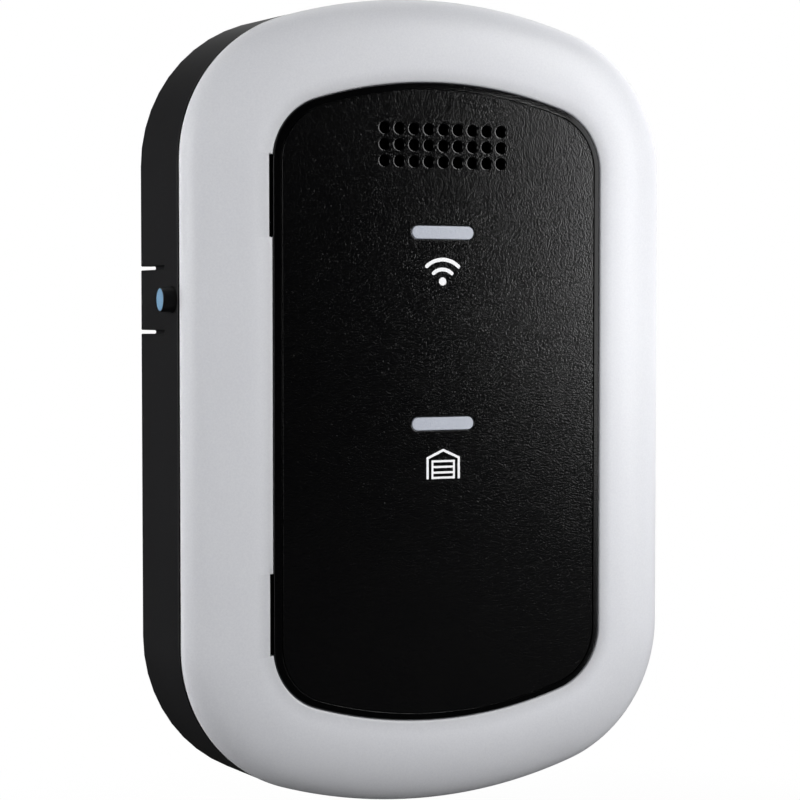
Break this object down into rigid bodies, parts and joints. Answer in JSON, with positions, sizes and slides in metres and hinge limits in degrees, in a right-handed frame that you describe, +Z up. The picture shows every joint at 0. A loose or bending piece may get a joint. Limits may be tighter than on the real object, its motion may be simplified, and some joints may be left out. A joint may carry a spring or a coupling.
{
  "type": "garage door controller",
  "caption": "Wall-mounted garage door controller: rounded black casing with an opal light ring, textured cover with sound grille and status bars, side push button, slide-on wall bracket.",
  "frame": {"origin": "on the wall face of the bracket, at the middle of the casing's outline as seen from the front", "axes": "+Z up along the casing's height, +Y into the wall, so the front cover faces -Y, and +X to the right as seen from the front"},
  "size_m": [0.1034, 0.0257, 0.1531],
  "materials": {
    "bracket_black": "satin moulded plastic",
    "casing_black": "satin moulded plastic",
    "ring_opal": "opal translucent diffuser",
    "cover_black": "fine leather grain",
    "pipe_frosted": "frosted light pipe",
    "cloth_black": "woven dust cloth",
    "board_green": "solder mask",
    "lamp_phosphor": "phosphor in white housing",
    "module_blue": "solder mask",
    "shield_steel": "tin plated",
    "copper_wire": "bare copper",
    "chip_black": "moulded epoxy",
    "ferrite_grey": "pressed ferrite",
    "can_aluminium": "drawn can",
    "relay_blue": "moulded",
    "foam_black": "closed-cell foam",
    "terminal_green": "moulded polyamide",
    "screw_steel": "zinc plated",
    "jack_black": "moulded",
    "pin_brass": "nickel plated",
    "plunger_white": "moulded",
    "button_black": "semi-gloss moulded",
    "button_blue": "translucent pale blue"
  },
  "bodies": {
    "bracket": {"wall_bracket": "bracket_black"},
    "unit": {"rear_housing": "casing_black", "light_ring": "ring_opal", "front_cover": "cover_black", "wifi_light_pipe": "pipe_frosted", "door_light_pipe": "pipe_frosted", "grille_cloth": "cloth_black", "main_board": "board_green", "ring_leds": "lamp_phosphor", "status_leds": "lamp_phosphor", "wifi_module": "module_blue", "wifi_shield": "shield_steel", "radio_module": "board_green", "radio_antenna": "copper_wire", "microcontroller": "chip_black", "voltage_regulator": "chip_black", "power_inductor": "ferrite_grey", "power_capacitors": "can_aluminium", "opener_relay": "relay_blue", "buzzer": "chip_black", "buzzer_gasket": "foam_black", "terminal_block": "terminal_green", "terminal_screws": "screw_steel", "dc_jack": "jack_black", "dc_jack_pin": "pin_brass", "button_switch": "jack_black", "casing_screws": "screw_steel"},
    "button": {"side_button": "button_black", "side_button_disc": "button_blue"},
    "plunger": {"switch_plunger": "plunger_white"}
  },
  "joints": [
    {"name": "unit_slide", "type": "slide", "parent": "bracket", "child": "unit", "axis": [0, 0, 1], "range_m": [0, 0.032]},
    {"name": "button_press", "type": "slide", "parent": "unit", "child": "button", "axis": [1, 0, 0], "range_m": [0, 0.0005], "stiffness_N_per_m": 400},
    {"name": "plunger_press", "type": "slide", "parent": "unit", "child": "plunger", "axis": [1, 0, 0], "range_m": [0, 0.0005]}
  ],
  "couplings": [
    {"joint": "plunger_press", "follows": "button_press", "ratio": 1}
  ]
}
